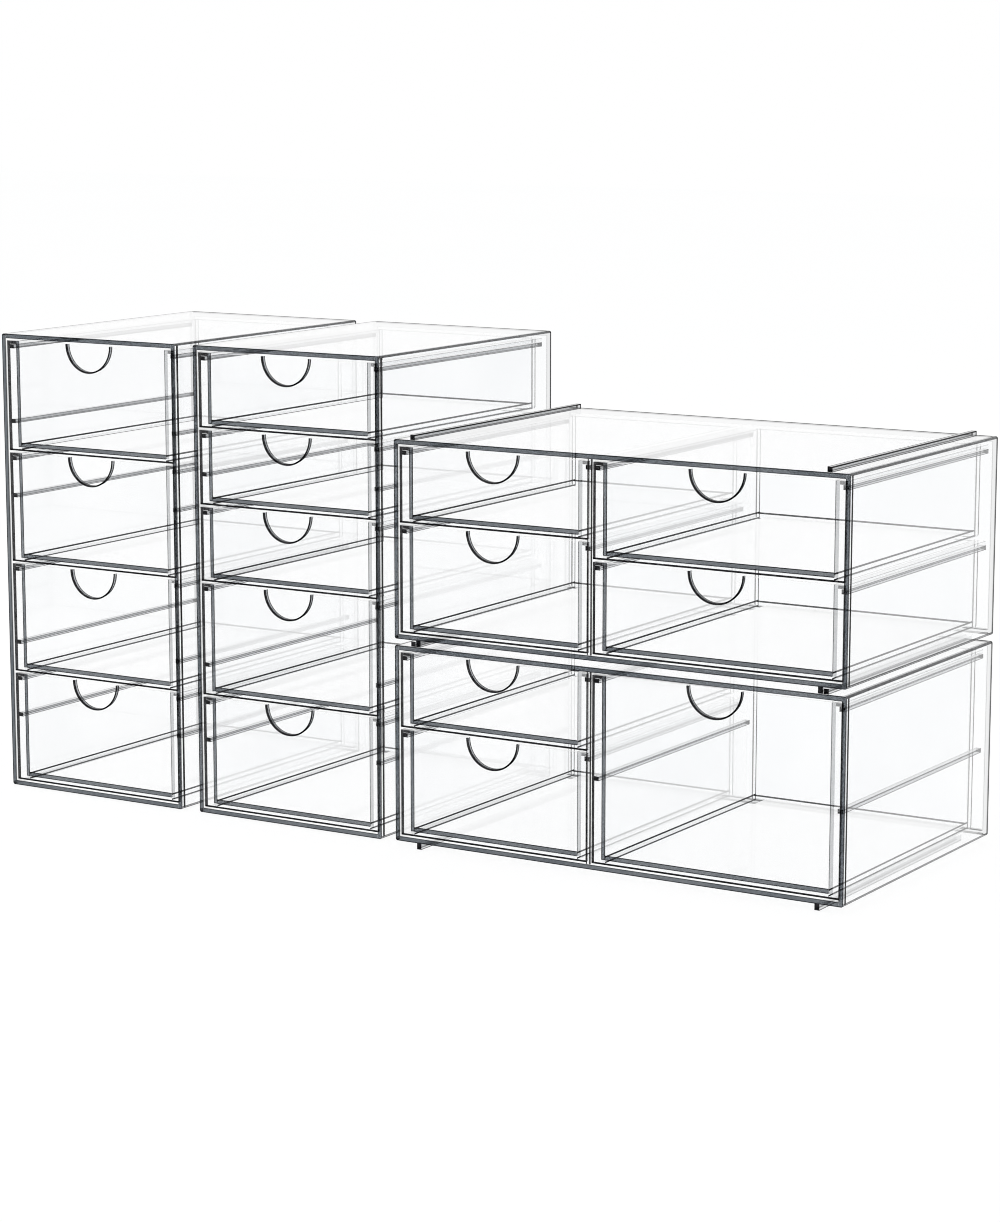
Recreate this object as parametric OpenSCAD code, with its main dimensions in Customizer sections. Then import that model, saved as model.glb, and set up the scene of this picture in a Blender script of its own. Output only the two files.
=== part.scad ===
// Set of clear acrylic make-up drawers: two tall towers standing side by side and, to their
// right, two wide chests stacked one on the other. Every drawer is a tray behind a notched
// front. It hangs by its side lips on runner strips and slides out towards -Y.
// The origin lies at the middle of the footprint, on the surface that the set stands on.

/* [Sheets] */
// Thickness of the casings' sheets
wall = 2.4; // [1.8:0.1:4]
// Rounding of the casings' long outer edges
edge_r = 1.1; // [0.3:0.1:1.7]
// Cement line between two sheets that are bonded together
bond = 0.05; // [0.02:0.01:0.1]

/* [Towers] */
// Outer width of a tower
tower_w = 114; // [80:1:180]
// Outer height of a tower
tower_h = 243.8; // [180:0.2:340]

/* [Chests] */
// Outer width of a chest
chest_w = 247.2; // [200:0.2:360]
// Outer height of a chest, without its rails and feet
chest_h = 99.2; // [84:0.2:160]
// Clear width of a chest's left bay
left_bay_w = 107.3; // [70:0.1:150]
// How far the partition stands behind the rim of its casing
partition_inset = 0.3; // [0:0.1:2]

/* [Depth] */
// Depth of every casing, front to back
casing_d = 165; // [110:1:240]
// How far the drawer fronts stand behind the rim of their casing
front_recess = 0.7; // [0:0.1:3]
// Room between the trays and the back of their casing
back_clear = 2.4; // [0.5:0.1:10]

/* [Drawer fronts] */
// Thickness of a drawer front
front_t = 2.4; // [1.8:0.1:4]
// Gap between two drawer fronts, one above the other
front_gap = 1.3; // [0.6:0.1:3]
// Gap between a drawer front and the walls of its bay
side_clear = 0.5; // [0.2:0.1:1.5]
// Gap above the highest drawer of a bay
head_clear = 1.2; // [0.6:0.1:4]
// Gap under the lowest drawer of a bay
foot_clear = 0.7; // [0.3:0.1:3]
// Height of the upper front in a chest's left bay
left_upper_h = 37.6; // [26:0.1:52]
// Height of the upper front in a chest's right bay
right_upper_h = 46.6; // [26:0.1:52]
// Radius of the finger notch in a front's upper edge
notch_r = 14; // [7:0.5:18]

/* [Trays] */
// Thickness of the trays' sheets
tray_t = 2.2; // [1.5:0.1:3.5]
// Rounding of the trays' long lower edges
tray_r = 1.8; // [0.4:0.1:2.4]
// Thickness of the lips that carry a tray
lip_t = 2.0; // [1.2:0.1:4]

/* [Runners] */
// How far a runner strip stands out from its wall
runner_w = 2.8; // [1.8:0.1:5]
// Height of a runner strip
runner_h = 2.2; // [1.2:0.1:4]
// Gap between a lip and the runner strip under it
ride_gap = 0.2; // [0.1:0.05:0.6]
// Gap between a runner strip and the tray that slides past it
runner_clear = 1.7; // [0.4:0.1:3]
// Gap between a drawer front and the strips' front ends, where it stops
stop_gap = 0.2; // [0.1:0.05:1]
// Distance from the strips' back ends to the back of the casing
runner_back = 3.1; // [0.5:0.1:12]

/* [Stacking] */
// Distance from a chest's side to its top rail
rail_x = 9.4; // [3:0.1:20]
// Width of the top rails
rail_w = 2.6; // [1.5:0.1:5]
// Height of the top rails
rail_h = 2.6; // [1.5:0.1:5]
// Width of the feet
foot_w = 2.6; // [1.5:0.1:5]
// Side play between the feet of a chest and the top rails that they stand between
nest_gap = 0.3; // [0.1:0.1:1]
// Room between the top rails of a chest and the floor of the chest stacked on it
rail_clear = 0.6; // [0.1:0.1:2]
// Gap under the feet of the upper chest
seat_gap = 0.05; // [0.02:0.01:0.1]
// Distance from a casing's rim to the front ends of its rails and feet
rail_front = 0.5; // [0:0.5:20]
// Distance from the back ends of the rails and feet to the back of their casing
rail_back = 4.5; // [0:0.5:30]

/* [Placing] */
// Gap between the two towers
tower_gap = 10.9; // [4:0.1:40]
// Gap between the middle tower and the chests
chest_gap = 14.1; // [4:0.1:40]
// How far the middle tower stands back from the left tower
middle_back = 0.9; // [0:0.1:10]
// How far the chests stand forward of the left tower
chest_forward = 7.4; // [0:0.1:20]

/* [Hidden] */
$fn = 64;

// Roundings stay inside the sheets that they are cut from
edge_round = min(edge_r, wall - 0.1);
tray_round = min(tray_r, tray_t - 0.1);

// Stacking heights: the feet clear the rails below them
foot_h = rail_h + rail_clear;
upper_z = foot_h + chest_h + foot_h + seat_gap;
foot_x = rail_x + rail_w + nest_gap;

// Heights of the highest front's upper edge and of the lowest front's lower edge
function top_edge(h) = h - wall - head_clear;
bottom_edge = wall + foot_clear;

// A tower's height is shared out in twelve cells: small fronts take two, large ones three
tower_cells = 12;
cell = (top_edge(tower_h) - bottom_edge + front_gap) / tower_cells;
left_cells = [3, 3, 3, 3];
middle_cells = [2, 2, 2, 3, 3];
// Each half of a tower has runners for both layouts, this many cells below its top
half_levels = [0, 2, 3, 4];

// Fronts: [height of the lower edge, height of the front]
function sum_before(v, n) = n == 0 ? 0 : v[n - 1] + sum_before(v, n - 1);
function tower_fronts(cells) = [
    for (i = [0 : len(cells) - 1])
        let (h = cells[i] * cell - front_gap)
        [top_edge(tower_h) - sum_before(cells, i) * cell - h, h]
];
function lower_top(upper_h) = top_edge(chest_h) - upper_h - front_gap;
function pair_fronts(upper_h) = [
    [top_edge(chest_h) - upper_h, upper_h],
    [bottom_edge, lower_top(upper_h) - bottom_edge]
];
full_front = [[bottom_edge, top_edge(chest_h) - bottom_edge]];

// Bays: [x from the casing's left side, clear width, upper edges that runners are made for]
tower_levels = [
    for (half = [0, tower_cells / 2], level = half_levels)
        top_edge(tower_h) - (half + level) * cell
];
right_bay_x = 2 * wall + left_bay_w;
tower_bay = [wall, tower_w - 2 * wall, tower_levels];
left_bay = [wall, left_bay_w, [top_edge(chest_h), lower_top(left_upper_h)]];
right_bay = [
    right_bay_x, chest_w - wall - right_bay_x, [top_edge(chest_h), lower_top(right_upper_h)]
];

// Places of the casings, counted from the left tower's front left corner
middle_x = tower_w + tower_gap;
chest_x = middle_x + tower_w + chest_gap;
centre_x = (chest_x + chest_w) / 2;
centre_y = (casing_d + middle_back - chest_forward) / 2;

// Casings: [name, [x, y, z], width, height, bays]
function outer_w(casing) = casing[2];
function outer_h(casing) = casing[3];
LEFT = ["left_tower", [0, 0, 0], tower_w, tower_h, [tower_bay]];
MIDDLE = ["middle_tower", [middle_x, middle_back, 0], tower_w, tower_h, [tower_bay]];
LOWER = [
    "lower_chest", [chest_x, -chest_forward, foot_h], chest_w, chest_h, [left_bay, right_bay]
];
UPPER = [
    "upper_chest", [chest_x, -chest_forward, upper_z], chest_w, chest_h, [left_bay, right_bay]
];
CHESTS = [LOWER, UPPER];
CASINGS = [LEFT, MIDDLE, LOWER, UPPER];

// Drawers: [casing, number, bay, front]
function bay_w(drawer) = drawer[2][1];
function front_h(drawer) = drawer[3][1];
function drawers_in(casing, bay, fronts, first) = [
    for (i = [0 : len(fronts) - 1]) [casing, first + i, bay, fronts[i]]
];
DRAWERS = concat(
    drawers_in(LEFT, tower_bay, tower_fronts(left_cells), 1),
    drawers_in(MIDDLE, tower_bay, tower_fronts(middle_cells), 1),
    drawers_in(LOWER, left_bay, pair_fronts(left_upper_h), 1),
    drawers_in(LOWER, right_bay, full_front, 3),
    drawers_in(UPPER, left_bay, pair_fronts(left_upper_h), 1),
    drawers_in(UPPER, right_bay, pair_fronts(right_upper_h), 3)
);

// Tray, lip and runner places inside a bay
tray_inset = runner_w + runner_clear;
tray_y = front_recess + front_t + bond;
tray_len = casing_d - wall - back_clear - tray_y;
runner_y = front_recess + front_t + stop_gap;
runner_len = casing_d - wall - runner_back - runner_y;
rail_len = casing_d - rail_front - rail_back;

// Names of the nodes: each casing's sheets, then each drawer's front and tray
CASING_SHEETS = ["top", "bottom", "sides", "back", "runners"];
CHEST_EXTRAS = ["partition", "rails", "feet"];
function node_name(casing, piece) = str(casing[0], "_", piece);
function drawer_name(drawer, piece) = str(drawer[0][0], "_", piece, "_", drawer[1]);

// Moves a casing's own frame to its place in the set
module at_casing(casing) {
    translate(casing[1] - [centre_x, centre_y, 0]) children();
}

// A drawer's own frame starts at its bay's left wall, at the lower edge of its front
module at_drawer(drawer) {
    at_casing(drawer[0]) translate([drawer[2][0], 0, drawer[3][0]]) children();
}

// Draws something at the left end of a width and its mirror image at the right end
module both_sides(width) {
    children();
    translate([width, 0, 0]) mirror([1, 0, 0]) children();
}

// Extrudes an outline drawn in X and Z over a length along +Y
module along_y(length) {
    translate([0, length, 0]) rotate([90, 0, 0]) linear_extrude(height = length) children();
}

// Outline t by h of an upright sheet, with its outer corners at x = 0 rounded
module rounded_strip(t, h, r, both_ends) {
    intersection() {
        square([t, h]);
        union() {
            translate([r, 0]) square([t, h]);
            translate([0, r]) square([t, h - (both_ends ? 2 : 1) * r]);
            translate([r, r]) circle(r = r);
            if (both_ends) translate([r, h - r]) circle(r = r);
        }
    }
}

module casing_top(casing) {
    color("aliceblue", 0.5) at_casing(casing)
        translate([wall + bond, 0, outer_h(casing) - wall])
            cube([outer_w(casing) - 2 * (wall + bond), casing_d, wall]);
}

module casing_bottom(casing) {
    color("aliceblue", 0.5) at_casing(casing)
        translate([wall + bond, 0, 0])
            cube([outer_w(casing) - 2 * (wall + bond), casing_d, wall]);
}

module casing_sides(casing) {
    color("lightsteelblue", 0.5) at_casing(casing)
        both_sides(outer_w(casing))
            along_y(casing_d) rounded_strip(wall, outer_h(casing), edge_round, true);
}

module casing_back(casing) {
    color("lightslategray", 0.5) at_casing(casing)
        translate([wall + bond, casing_d - wall, wall + bond])
            cube([outer_w(casing) - 2 * (wall + bond), wall, outer_h(casing) - 2 * (wall + bond)]);
}

// Strips on both walls of each bay, under the lips of the drawers that it can hold
module casing_runners(casing) {
    color("slategray", 0.7) at_casing(casing)
        for (bay = casing[4], level = bay[2])
            translate([bay[0], runner_y, level - lip_t - ride_gap - runner_h])
                both_sides(bay[1])
                    translate([bond, 0, 0]) cube([runner_w - bond, runner_len, runner_h]);
}

// Upright sheet between the two bays of a chest
module chest_partition(casing) {
    color("lightslategray", 0.5) at_casing(casing)
        translate([wall + left_bay_w, partition_inset, wall + bond])
            cube([wall, casing_d - wall - bond - partition_inset, outer_h(casing) - 2 * (wall + bond)]);
}

// Rails on top of a chest, which keep the feet of another one between them
module chest_rails(casing) {
    color("slategray", 0.7) at_casing(casing)
        translate([0, rail_front, outer_h(casing) + bond])
            both_sides(outer_w(casing))
                translate([rail_x, 0, 0]) cube([rail_w, rail_len, rail_h - bond]);
}

module chest_feet(casing) {
    color("slategray", 0.7) at_casing(casing)
        translate([0, rail_front, -foot_h])
            both_sides(outer_w(casing))
                translate([foot_x, 0, 0]) cube([foot_w, rail_len, foot_h - bond]);
}

// Front of a drawer, with a half-round notch for a finger in its upper edge
module drawer_front(drawer) {
    width = bay_w(drawer) - 2 * side_clear;
    height = front_h(drawer);
    color("azure", 0.5) at_drawer(drawer)
        translate([side_clear, front_recess, 0])
            along_y(front_t)
                difference() {
                    square([width, height]);
                    translate([width / 2, height]) circle(r = notch_r);
                }
}

// Tray of a drawer: floor, back, two sides and the lips that ride on the runners
module drawer_tray(drawer) {
    height = front_h(drawer);
    inner_w = bay_w(drawer) - 2 * (tray_inset + tray_t + bond);
    color("lightcyan", 0.5) at_drawer(drawer) translate([0, tray_y, 0]) {
        both_sides(bay_w(drawer)) {
            translate([tray_inset, 0, 0])
                along_y(tray_len) rounded_strip(tray_t, height, tray_round, false);
            translate([side_clear, 0, height - lip_t])
                cube([tray_inset - bond - side_clear, tray_len, lip_t]);
        }
        translate([tray_inset + tray_t + bond, 0, 0])
            cube([inner_w, tray_len - tray_t - bond, tray_t]);
        translate([tray_inset + tray_t + bond, tray_len - tray_t, 0])
            cube([inner_w, tray_t, height]);
    }
}

for (c = CASINGS) {
    casing_top(c);
    casing_bottom(c);
    casing_sides(c);
    casing_back(c);
    casing_runners(c);
}
for (c = CHESTS) {
    chest_partition(c);
    chest_rails(c);
    chest_feet(c);
}
for (d = DRAWERS) {
    drawer_front(d);
    drawer_tray(d);
}
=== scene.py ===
import math

import bpy
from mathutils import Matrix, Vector

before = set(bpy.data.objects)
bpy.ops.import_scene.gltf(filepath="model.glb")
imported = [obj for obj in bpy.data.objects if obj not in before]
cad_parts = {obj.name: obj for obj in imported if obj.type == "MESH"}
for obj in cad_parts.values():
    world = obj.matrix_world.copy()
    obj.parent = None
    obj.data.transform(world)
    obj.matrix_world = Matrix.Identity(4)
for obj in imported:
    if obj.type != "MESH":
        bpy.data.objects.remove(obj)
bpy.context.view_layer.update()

# The photographed view: place in metres, turn in degrees, lens in millimetres
CAMERA_AT = (0.90025, -1.43638, 0.40359)
CAMERA_YAW, CAMERA_PITCH = 31.7786, 9.951
CAMERA_LENS = 98.18
CAMERA_REACH = 50.0

# Lengths are in millimetres from here to the acrylic
PER_METRE = 1000.0
WELD = 0.002              # corners this near each other become one
ON = 0.02                 # a point this near a plane lies on it
THIN = 5.0                # a solid that measures less than this along an axis is thin there
BROAD = 20.0              # a level solid wider than this is a floor, a narrower one a lip
FRONT_Y, BACK_Y = -76.0, 86.0     # depths that the lines fade between
NOTCH_R = 14.0            # finger notch in the fronts, as in the solids
NOTCH_SKIN, NOTCH_RIM = 0.05, 0.85   # how far its cut face and its painted shade rim spread from that
EDGE_R = 1.1              # rounding of the casings' long edges, as in the solids
SIDE_WALL = 2.4           # thickness of the casings' sheets, as in the solids
TRAY_SHEET = 2.2          # thickness of the trays' sheets, as in the solids
TRAY_IN = 6.2             # the trays' floors start this far in from the fronts' ends
PAINTED_FLOOR_AT = 2.8            # height of the painted shade band on the front's back face that stands for the floor's cut edge seen through the front; the solid floor lies lower
PAINTED_FLOOR_LOW = PAINTED_FLOOR_AT - TRAY_SHEET / 2
FLOOR_LINES, FLOOR_LINE_HALF = 1.0, 0.25     # painted lines this far over and under that band's middle
FLOOR_CLEAR = 7.5         # strip of the floor left without the painted white reflection, so that the tray's lower edge shows through
CORNER_RISE = 1.1         # the painted shade line along a tray's inner corner lies this far over its floor
BACK_RISE = 1.0           # the same at the tray's back
CORNER_HALF = 0.45
FOOT_AT, FOOT_HALF = 0.6, 0.4        # the painted shade line along a tray's lower edge
RIM_GHOST, GHOST_HALF = 2.1, 0.8     # a painted line on a side sheet's outer face, standing for the rim's inner edge seen through it
TOP_BAND = 20.0           # the stretch of a side sheet that holds its upper rounding

# Widths of drawn lines
HAIR, FINE, LINE, BOLD, HEAVY = 0.4, 0.45, 0.5, 0.6, 0.9

# How far round a rounded edge has turned: 0 where it starts, 1 half-way
TURN_BEGUN, TURN_PLAIN, TURN_HALF = 0.05, 0.1, 0.45
SQUARE_ON = 0.9           # a face whose normal has this much of X looks sideways

# Acrylic
IOR = 1.49
SHEET_TINT = (0.997, 0.998, 0.999)
HAZE_COLOUR = (0.6, 0.65, 0.7)
HAZE = (18.0, 0.0, 0.02)  # noise: scale per metre, least and greatest value
CLOUDS = (26.0, 0.92, 1.0)
GRAIN = (420.0, 0.96, 1.0)
NOISE_DETAIL, NOISE_ROUGH = 2.0, 0.5
NOISE_LOW, NOISE_HIGH = 0.3, 0.7
FAR = 0.92                # how strong a line still is at the back
HEAD_ON = 0.0746          # share that a sheet reflects when looked at squarely
MIRROR_SHARE = 0.12       # how much of what the sheet reflects is sharp; the rest is a painted white reflection
GLOSS = 0.03              # roughness of that
DULL = 0.9                # how much less a painted dark edge reflects
WALL_SHEEN = 20.0         # these raise what a sheet reflects at a slant, by a power; what they raise is mostly painted white reflection
PARTITION_SHEEN = 6.0
FLOOR_SHEEN, CLEAR_SHEEN = 3.0, 0.1
# Colours of the painted shade on cut edges and roundings: fills grey, lines black
SHADE_GREY = (0.105, 0.12, 0.135)
SHADE_BLACK = (0.0, 0.0, 0.002)

# Studio, in metres
LIGHT = 1.0               # of the world, the floor and the painted white reflection that the sheets glow with
WHITE = (1, 1, 1, 1)
FLOOR_SIZE = 12.0
FLOOR_DROP = 0.0005
FLOOR_WHITE, FLOOR_SHADE = (1.0, 1.0, 1.0), (0.99, 0.992, 0.994)
FLOOR_NOISE = {"Scale": 1.4, "Detail": 3.0}
FLOOR_DULL = 0.12         # how much of the floor's look is lit by the lamps
SOFTBOXES = (             # place, size, watts
    ((0.3, -0.9, 2.2), 2.4, 12.0),
    ((-1.9, -1.2, 1.2), 1.6, 4.0),
)


def put(tree, kind, inputs=None, **settings):
    """Adds a node. inputs go by socket name or index, as a value or as another node's output."""
    made = tree.nodes.new(kind)
    for name, value in settings.items():
        setattr(made, name, value)
    for key, value in (inputs or {}).items():
        if isinstance(value, bpy.types.NodeSocket):
            tree.links.new(value, made.inputs[key])
        else:
            made.inputs[key].default_value = value
    return made


def maths(tree, operation, *values):
    """A number worked out from others, each a value or another node's output."""
    return put(tree, "ShaderNodeMath", dict(enumerate(values)), operation=operation).outputs[0]


def vector_maths(tree, operation, *values):
    return put(tree, "ShaderNodeVectorMath", dict(enumerate(values)), operation=operation).outputs[0]


def split(tree, vector):
    return put(tree, "ShaderNodeSeparateXYZ", {0: vector}).outputs


def ramp(tree, value, from_low, from_high, to_low, to_high):
    """value between two limits, carried over to two others and held there."""
    return put(tree, "ShaderNodeMapRange", {
        "Value": value, "From Min": from_low, "From Max": from_high,
        "To Min": to_low, "To Max": to_high}, clamp=True).outputs["Result"]


def colour_mix(tree, share, *colours):
    """Two colours mixed, each given as red, green and blue or as another node's output."""
    share_socket, colour_sockets, mixed = 0, (6, 7), 2
    values = {share_socket: share}
    for socket, colour in zip(colour_sockets, colours):
        values[socket] = colour if isinstance(colour, bpy.types.NodeSocket) else (*colour, 1)
    return put(tree, "ShaderNodeMix", values, data_type="RGBA").outputs[mixed]


# Every solid is a box, some with a rounded corner or a notch. So how far a point lies from
# the six sides of its own solid's box tells which edge of the sheet it is near.

def solid_box(group, place):
    """Lowest and highest corner of the solid that a point belongs to."""
    solid = put(group, "GeometryNodeInputMeshIsland").outputs[0]
    reach = put(group, "GeometryNodeFieldMinAndMax", data_type="FLOAT_VECTOR", domain="POINT")
    value, solids = [s for s in reach.inputs if s.enabled]
    group.links.new(place, value)
    group.links.new(solid, solids)
    return [s for s in reach.outputs if s.enabled]


def store(group, shape, name, vector):
    """Keeps a vector on each point, in millimetres, for the shaders to read."""
    node = put(group, "GeometryNodeStoreNamedAttribute", {0: shape, "Name": name},
               data_type="FLOAT_VECTOR", domain="POINT")
    millimetres = put(group, "ShaderNodeVectorMath", {0: vector, "Scale": PER_METRE}, operation="SCALE")
    value = [s for s in node.inputs if s.name == "Value" and s.enabled][0]
    group.links.new(millimetres.outputs[0], value)
    return node.outputs[0]


def weld(group, shape):
    """Joins the doubled corners of each solid and shades it flat."""
    for step, inputs in (
            ("RemoveAttribute", {"Name": "custom_normal"}),
            ("MergeByDistance", {"Distance": WELD / PER_METRE}),
            ("SetShadeSmooth", {"Shade Smooth": False})):
        shape = put(group, "GeometryNode" + step, {0: shape, **inputs}).outputs[0]
    return shape


def sort_solids(group, shape, low, high):
    """Gives each solid of a tray one of four materials: 0 upright, 1 level, 2 strip, 3 across."""
    x, y, z = split(group, vector_maths(group, "SUBTRACT", high, low))
    thin = [maths(group, "LESS_THAN", size, THIN / PER_METRE) for size in (x, y, z)]
    broad = maths(group, "GREATER_THAN", x, BROAD / PER_METRE)
    level = maths(group, "MULTIPLY", thin[2], maths(group, "SUBTRACT", 2.0, broad))
    role = maths(group, "ADD", maths(group, "MULTIPLY", thin[1], 3.0), level)
    return put(group, "GeometryNodeSetMaterialIndex", {0: shape, "Material Index": role}).outputs[0]


def node_sides(group, place, box):
    """How far a point lies from the left and from the right side of the whole node's box."""
    x = split(group, place)[0]
    return put(group, "ShaderNodeCombineXYZ", {
        0: maths(group, "SUBTRACT", x, split(group, box.outputs["Min"])[0]),
        1: maths(group, "SUBTRACT", split(group, box.outputs["Max"])[0], x)}).outputs[0]


def measured_faces(name, sorted_by_shape):
    """Geometry nodes that weld a node's solids and store on each point how far it lies from
    the sides of its solid's box, and from the sides of the whole node's box along X."""
    group = bpy.data.node_groups.new(name, "GeometryNodeTree")
    for way in ("INPUT", "OUTPUT"):
        group.interface.new_socket("Geometry", in_out=way, socket_type="NodeSocketGeometry")
    shape = weld(group, put(group, "NodeGroupInput").outputs[0])
    place = put(group, "GeometryNodeInputPosition").outputs[0]
    low, high = solid_box(group, place)
    box = put(group, "GeometryNodeBoundBox", {0: shape})
    if sorted_by_shape:
        shape = sort_solids(group, shape, low, high)
    shape = store(group, shape, "from_low", vector_maths(group, "SUBTRACT", place, low))
    shape = store(group, shape, "to_high", vector_maths(group, "SUBTRACT", high, place))
    shape = store(group, shape, "from_node", node_sides(group, place, box))
    put(group, "NodeGroupOutput", {0: shape})
    return group


class Sheet:
    """The shader of one kind of sheet. left, right, front, back, under and over are a point's
    distances from the sides of its own solid's box, and x and z are the lesser of a pair of
    them. outer and inner are its distances from the side that looks out of the node and from
    the one that looks into it. A mask is 1 where something is drawn and 0 elsewhere. Fills
    draw grey and lines draw black, each with a strength from 0 to 1. They are painted shade:
    the dark bands and lines that refraction gives the cut edges and roundings, placed by
    position rather than traced."""

    def __init__(self, name):
        self.material = bpy.data.materials.new(name)
        self.material.use_nodes = True
        self.tree = self.material.node_tree
        self.tree.nodes.clear()
        low, high, whole = [put(self.tree, "ShaderNodeAttribute", attribute_name=attribute,
                                attribute_type="GEOMETRY").outputs["Vector"]
                            for attribute in ("from_low", "to_high", "from_node")]
        self.left, self.front, self.under = split(self.tree, low)
        self.right, self.back, self.over = split(self.tree, high)
        self.x, _, self.z = split(self.tree, vector_maths(self.tree, "MINIMUM", low, high))
        node_left, node_right, _ = split(self.tree, whole)
        self.outer = self.maths("MINIMUM", node_left, node_right)
        # Which side of the node a piece lies on: the painted shade is darker on the left-hand pieces
        # than on the right-hand ones
        self.on_right = self.maths("GREATER_THAN", node_left, node_right)
        self.on_left = self.near(self.on_right, 0.5)
        self.inner = ramp(self.tree, self.on_right, 0.0, 1.0, self.right, self.left)
        coordinates = put(self.tree, "ShaderNodeTexCoord").outputs
        self.place = coordinates["Object"]
        self.looks = split(self.tree, vector_maths(self.tree, "ABSOLUTE", coordinates["Normal"]))
        self.sideways = self.beyond(self.looks[0], SQUARE_ON)
        self.fills, self.lines = [], []

    def maths(self, operation, *values):
        return maths(self.tree, operation, *values)

    def near(self, distance, width):
        return self.maths("LESS_THAN", distance, width)

    def beyond(self, distance, width):
        return self.maths("GREATER_THAN", distance, width)

    def around(self, distance, middle, half):
        """A band at a distance, half as wide as it says to either side."""
        return self.near(self.maths("ABSOLUTE", self.maths("SUBTRACT", distance, middle)), half)

    def both(self, *masks):
        """Where all of the masks are 1, or the product of several strengths."""
        result = masks[0]
        for mask in masks[1:]:
            result = self.maths("MULTIPLY", result, mask)
        return result

    def strongest(self, values):
        """The greatest of several strengths, or 0 where there are none."""
        result = values[0] if values else 0.0
        for value in values[1:]:
            result = self.maths("MAXIMUM", result, value)
        return result

    def fill(self, strength, *masks):
        self.fills.append(self.maths("MULTIPLY", self.both(*masks), strength))

    def line(self, strength, *masks):
        self.lines.append(self.maths("MULTIPLY", self.both(*masks), strength))

    def edge(self, strength, width, *distances):
        """A line along an edge, where a point lies within width of each of the given sides."""
        self.line(strength, *[self.near(d, width) for d in distances])

    def rounding(self):
        """How far round a rounded long edge has turned: 0 where it starts, 1 half-way."""
        return self.maths("MULTIPLY", self.both(self.looks[0], self.looks[2]), 2.0)

    def noise(self, scale, low, high):
        fac = put(self.tree, "ShaderNodeTexNoise", {
            "Vector": self.place, "Scale": scale, "Detail": NOISE_DETAIL,
            "Roughness": NOISE_ROUGH}).outputs["Fac"]
        return ramp(self.tree, fac, NOISE_LOW, NOISE_HIGH, low, high)

    def drawn(self, far):
        """The strength of all fills and of all lines, the painted shade. Lines fade towards the back,
        to far.
        """
        tree = self.tree
        depth = maths(tree, "MULTIPLY", split(tree, self.place)[1], PER_METRE)
        fade = ramp(tree, depth, FRONT_Y, BACK_Y, 1.0, far)
        grain = self.noise(*GRAIN)
        fill = self.both(self.strongest(self.fills), grain, self.noise(*CLOUDS))
        line = self.both(self.strongest(self.lines), grain, fade)
        return fill, line

    def reflected(self, power):
        """The share that both surfaces of the sheet reflect, less what they do head-on."""
        surface = put(self.tree, "ShaderNodeFresnel", {"IOR": IOR}).outputs[0]
        both_faces = self.maths("DIVIDE", self.maths("MULTIPLY", surface, 2.0),
                                self.maths("ADD", surface, 1.0))
        passed = ramp(self.tree, both_faces, HEAD_ON, 1.0, 1.0, 0.0)
        return self.maths("SUBTRACT", 1.0, self.maths("POWER", passed, power))

    def studio(self):
        """What the sheet reflects: mostly a painted reflection, an even white glow standing for the
        white studio, and a sharp traced share of what is there.
        """
        # Painted reflection: a white glow in place of the studio that the sheet would reflect
        white = put(self.tree, "ShaderNodeEmission", {"Color": WHITE, "Strength": LIGHT})
        glossy = put(self.tree, "ShaderNodeBsdfGlossy", {"Color": WHITE, "Roughness": GLOSS})
        return put(self.tree, "ShaderNodeMixShader", {
            0: MIRROR_SHARE, 1: white.outputs[0], 2: glossy.outputs[0]}).outputs[0]

    def finish(self, far=FAR, sheen=1.0, veiled=None, clear=1.0):
        """Joins it up: what shows through, tinted by the painted shade of the fills and the lines,
        under what the sheet reflects, which is mostly a painted white reflection. sheen raises
        that where the mask veiled is 1, and clear lowers it elsewhere."""
        tree = self.tree
        fill, line = self.drawn(far)
        tint = colour_mix(tree, self.noise(*HAZE), SHEET_TINT, HAZE_COLOUR)
        tint = colour_mix(tree, line, colour_mix(tree, fill, tint, SHADE_GREY), SHADE_BLACK)
        power = sheen if veiled is None else ramp(tree, veiled, 0.0, 1.0, clear, sheen)
        share = self.reflected(power)
        outside = self.maths("SUBTRACT", 1.0, put(tree, "ShaderNodeNewGeometry").outputs["Backfacing"])
        drawn = self.maths("MAXIMUM", fill, line)
        dull = self.maths("SUBTRACT", 1.0, self.maths("MULTIPLY", drawn, DULL))
        through = put(tree, "ShaderNodeBsdfTransparent", {"Color": tint}).outputs[0]
        sheet = put(tree, "ShaderNodeMixShader", {
            0: self.both(share, outside, dull), 1: through, 2: self.studio()}).outputs[0]
        put(tree, "ShaderNodeOutputMaterial", {"Surface": sheet})
        return self.material


def side_sheet():
    s = Sheet("casing_side")
    # Cut edge at the front, with its borders: painted shade
    s.fill(1.0, s.near(s.front, ON))
    s.edge(0.6, LINE, s.front, s.outer)
    s.edge(0.6, LINE, s.front, s.z)
    s.line(0.7, s.near(s.front, LINE), s.near(s.inner, LINE), s.beyond(s.z, SIDE_WALL))
    # Painted line on the right-hand sheets' outer face, standing for the rim's inner edge seen through
    # the sheet
    s.line(0.99, s.on_right, s.near(s.outer, ON), s.around(s.front, RIM_GHOST, GHOST_HALF))
    # Cut edge at the back: painted shade
    s.edge(0.97, 0.75, s.back, s.outer)
    s.edge(0.8, LINE, s.back, s.z)
    s.fill(0.2, s.near(s.back, ON))
    # Long edges and their rounding: painted shade
    turned = s.rounding()
    s.fill(0.35, s.beyond(turned, TURN_BEGUN))
    s.line(0.75, s.beyond(turned, TURN_PLAIN), s.near(s.over, TOP_BAND))
    s.line(0.5, s.near(s.over, ON))
    s.line(0.75, s.near(s.outer, ON), s.near(s.under, EDGE_R + LINE))
    s.line(0.85, s.beyond(turned, TURN_HALF))
    return s.finish(0.9, WALL_SHEEN, s.near(s.inner, ON))


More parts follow.
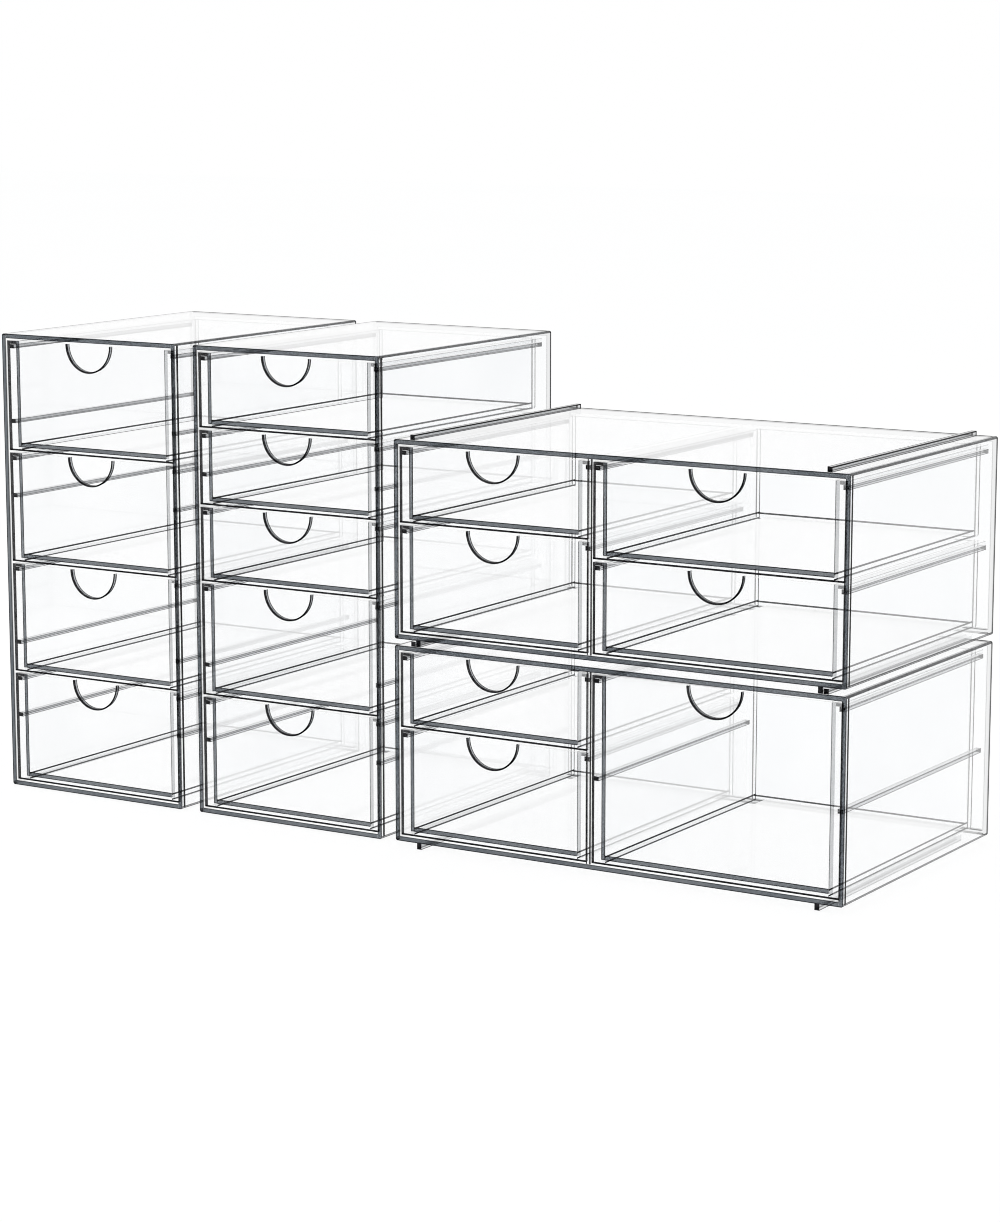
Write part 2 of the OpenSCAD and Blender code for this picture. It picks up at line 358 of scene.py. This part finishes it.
def level_sheet(name, outside):
    """A top or a bottom sheet. outside names the side of it that looks out of the casing."""
    s = Sheet(name)
    outside = getattr(s, outside)
    # Painted shade: the front cut face filled grey, dark lines along the front and back edges
    s.fill(1.0, s.near(s.front, ON))
    s.edge(0.75, LINE, s.front, outside)
    s.edge(0.5, FINE, s.front, s.z)
    s.edge(0.95, HEAVY, s.back, outside)
    s.line(0.95, s.near(s.back, SIDE_WALL), s.near(s.over, ON))
    s.fill(0.2, s.near(s.back, ON))
    return s.finish(0.95)


def back_sheet():
    s = Sheet("casing_back")
    # Painted shade lines along the back edges
    s.edge(0.35, LINE, s.back, s.x)
    s.edge(0.35, LINE, s.back, s.z)
    return s.finish()


def partition_sheet():
    s = Sheet("casing_partition")
    # Painted shade on the front cut edge
    s.fill(0.1, s.near(s.front, ON))
    s.edge(0.97, BOLD, s.front, s.x)
    return s.finish(sheen=PARTITION_SHEEN)


def runner_strip():
    s = Sheet("casing_runner")
    # Ends: painted shade, darker on the left-hand strips
    s.line(0.99, s.near(s.front, ON), s.on_left)
    s.line(0.8, s.near(s.front, ON))
    s.line(0.9, s.near(s.back, ON))
    # The band that its upright faces make on the wall: painted shade, with darker borders
    s.fill(0.42, s.sideways)
    s.line(0.7, s.sideways, s.near(s.under, HAIR))
    s.line(0.6, s.sideways, s.near(s.over, 0.35))
    return s.finish()


def rail_strip():
    s = Sheet("casing_rail")
    # Painted shade: grey on the upright faces, dark lines along the edges and ends
    s.fill(0.4, s.sideways)
    s.edge(0.97, BOLD, s.x, s.over)
    s.edge(0.75, FINE, s.x, s.under)
    s.line(0.99, s.near(s.front, ON))
    s.edge(0.97, BOLD, s.back, s.x)
    s.edge(0.97, BOLD, s.back, s.over)
    return s.finish(0.95)


def foot_strip():
    s = Sheet("casing_foot")
    # Painted shade: dark front end, grey upright faces, a line along the lower edge
    s.line(0.99, s.near(s.front, ON))
    s.fill(0.35, s.sideways)
    s.edge(0.6, LINE, s.x, s.under)
    return s.finish()


def drawer_front():
    s = Sheet("drawer_front")
    # Rim of the finger notch: painted shade
    across = s.maths("MULTIPLY", s.maths("SUBTRACT", s.left, s.right), 0.5)
    notch = s.maths("SQRT", s.maths("ADD", s.both(across, across), s.both(s.over, s.over)))
    s.fill(0.75, s.around(notch, NOTCH_R, NOTCH_SKIN))
    s.line(0.99, s.around(notch, NOTCH_R, NOTCH_RIM), s.near(s.front, HEAVY))
    s.line(0.9, s.around(notch, NOTCH_R, HAIR), s.near(s.back, HAIR))
    # Cut edges at the sides, and the lower border: painted shade, darker at the left side than at the
    # right
    s.line(0.97, s.near(s.left, ON))
    s.line(0.7, s.near(s.right, ON))
    s.edge(0.97, 0.2, s.left, s.front)
    s.edge(0.99, 0.95, s.under, s.front)
    # The tray's floor meets the front's back face; its cut edge is drawn there as a painted shade band,
    # higher than the solid floor lies
    painted_floor_edge = s.both(s.near(s.back, ON), s.beyond(s.left, TRAY_IN), s.beyond(s.right, TRAY_IN))
    s.fill(0.97, painted_floor_edge, s.around(s.under, PAINTED_FLOOR_AT, TRAY_SHEET / 2))
    s.line(0.8, painted_floor_edge, s.around(s.under, PAINTED_FLOOR_AT - FLOOR_LINES, FLOOR_LINE_HALF))
    s.line(0.9, painted_floor_edge, s.around(s.under, PAINTED_FLOOR_AT + FLOOR_LINES, FLOOR_LINE_HALF))
    # Cut edges above and below: painted shade
    s.fill(0.3, s.near(s.under, ON))
    s.fill(0.12, s.near(s.over, ON))
    return s.finish(1.0)


def tray_side():
    s = Sheet("tray_side")
    # Cut edge at the front, from the height at which the painted floor band shows: painted shade,
    # darker on the left-hand trays
    edge_face = s.both(s.near(s.front, ON), s.beyond(s.under, PAINTED_FLOOR_LOW))
    s.fill(0.45, edge_face)
    s.fill(0.95, edge_face, s.on_left)
    s.line(0.9, edge_face, s.near(s.x, FINE), s.on_left)
    s.line(0.65, edge_face, s.near(s.left, FINE))
    s.line(0.6, edge_face, s.near(s.over, HAIR))
    s.line(0.8, edge_face, s.near(s.under, PAINTED_FLOOR_LOW + FINE), s.on_left)
    # Long edges: painted shade on the rounding, and painted shade lines along the inner corner, the
    # lower edge and the top
    s.fill(0.15, s.beyond(s.rounding(), TURN_BEGUN))
    s.line(0.98, s.near(s.inner, ON), s.around(s.under, TRAY_SHEET + CORNER_RISE, CORNER_HALF))
    s.line(0.98, s.near(s.inner, ON), s.around(s.under, FOOT_AT, FOOT_HALF))
    s.line(0.4, s.near(s.inner, ON), s.near(s.over, FINE))
    s.edge(0.8, LINE, s.back, s.x)
    return s.finish()


def tray_floor():
    s = Sheet("tray_floor")
    # Painted white reflection raised over the floor's top face, and left off in a strip beside the left
    # side
    veiled = s.both(s.near(s.over, ON), s.beyond(s.left, FLOOR_CLEAR))
    return s.finish(sheen=FLOOR_SHEEN, veiled=veiled, clear=CLEAR_SHEEN)


def tray_lip():
    s = Sheet("tray_lip")
    # Painted shade: a dark front end, darker on the left-hand trays, and a faint band on the upright
    # faces
    s.line(0.98, s.near(s.front, ON), s.on_left)
    s.line(0.7, s.near(s.front, ON))
    s.fill(0.08, s.sideways)
    s.line(0.35, s.sideways, s.near(s.over, HAIR))
    return s.finish()


def tray_back():
    s = Sheet("tray_back")
    # Painted shade lines along the inner corner, above where it really lies, and along the top and
    # bottom
    s.line(0.97, s.near(s.front, ON), s.around(s.under, TRAY_SHEET + BACK_RISE, CORNER_HALF))
    s.line(0.4, s.near(s.front, ON), s.near(s.over, FINE))
    s.line(0.6, s.near(s.front, ON), s.near(s.under, LINE))
    return s.finish()


def dress_acrylic():
    """Each CAD node keeps its mesh and gets the materials of its kind. A tray's four follow
    the order of sort_solids."""
    whole = measured_faces("sheets", False)
    sorted_out = measured_faces("tray_sheets", True)
    looks = {
        "_sides": [side_sheet()],
        "_top": [level_sheet("casing_top", "over")],
        "_bottom": [level_sheet("casing_bottom", "under")],
        "_back": [back_sheet()],
        "_partition": [partition_sheet()],
        "_runners": [runner_strip()],
        "_feet": [foot_strip()],
        "_rails": [rail_strip()],
        "_front_": [drawer_front()],
        "_tray_": [tray_side(), tray_floor(), tray_lip(), tray_back()],
    }
    # These lie between the two chests, beside the upper one's feet, and look like them. They
    # come last here, because a node takes the last kind that its name holds.
    looks["lower_chest_rails"] = looks["_feet"]
    for name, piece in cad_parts.items():
        kind = [word for word in looks if word in name][-1]
        piece.data.materials.clear()
        for made in looks[kind]:
            piece.data.materials.append(made)
        piece.modifiers.new("faces", "NODES").node_group = sorted_out if kind == "_tray_" else whole


def lay_floor(scene):
    """A wide white floor just under the part, mostly lit by itself, so that no shade shows."""
    half = FLOOR_SIZE / 2
    mesh = bpy.data.meshes.new("floor")
    mesh.from_pydata([(x, y, -FLOOR_DROP) for x, y in (
        (-half, -half), (half, -half), (half, half), (-half, half))], [], [(0, 1, 2, 3)])
    material = bpy.data.materials.new("studio_white")
    material.use_nodes = True
    tree = material.node_tree
    tree.nodes.clear()
    place = put(tree, "ShaderNodeTexCoord").outputs["Object"]
    fac = put(tree, "ShaderNodeTexNoise", {"Vector": place, **FLOOR_NOISE}).outputs["Fac"]
    white = colour_mix(tree, fac, FLOOR_WHITE, FLOOR_SHADE)
    lit = put(tree, "ShaderNodeEmission", {"Color": white, "Strength": LIGHT}).outputs[0]
    dull = put(tree, "ShaderNodeBsdfDiffuse", {"Color": white}).outputs[0]
    put(tree, "ShaderNodeOutputMaterial", {"Surface": put(
        tree, "ShaderNodeMixShader", {0: FLOOR_DULL, 1: lit, 2: dull}).outputs[0]})
    mesh.materials.append(material)
    floor = bpy.data.objects.new("floor", mesh)
    scene.collection.objects.link(floor)


def set_lamps(scene):
    """Soft lamps that look at the middle of the part's footprint."""
    for n, (place, size, watts) in enumerate(SOFTBOXES, 1):
        data = bpy.data.lights.new(f"softbox_{n}", "AREA")
        data.size, data.energy = size, watts
        lamp = bpy.data.objects.new(f"softbox_{n}", data)
        lamp.location = place
        lamp.rotation_euler = (-Vector(place)).to_track_quat("-Z", "Y").to_euler()
        lamp.visible_camera = False
        scene.collection.objects.link(lamp)


def set_camera(scene):
    camera = bpy.data.objects.new("camera", bpy.data.cameras.new("camera"))
    camera.location = CAMERA_AT
    camera.rotation_euler = (math.radians(90 - CAMERA_PITCH), 0, math.radians(CAMERA_YAW))
    camera.data.lens = CAMERA_LENS
    camera.data.clip_end = CAMERA_REACH
    scene.collection.objects.link(camera)
    scene.camera = camera


def set_light(scene):
    world = bpy.data.worlds.new("studio")
    world.use_nodes = True
    world.node_tree.nodes["Background"].inputs["Color"].default_value = WHITE
    world.node_tree.nodes["Background"].inputs["Strength"].default_value = LIGHT
    scene.world = world
    scene.view_settings.view_transform = "Standard"
    scene.cycles.max_bounces = 24
    scene.cycles.glossy_bounces = 8
    scene.cycles.diffuse_bounces = 4
    scene.cycles.transparent_max_bounces = 128
    scene.cycles.filter_width = 1.0


set_camera(bpy.context.scene)
set_light(bpy.context.scene)
set_lamps(bpy.context.scene)
lay_floor(bpy.context.scene)
dress_acrylic()
bpy.context.view_layer.update()
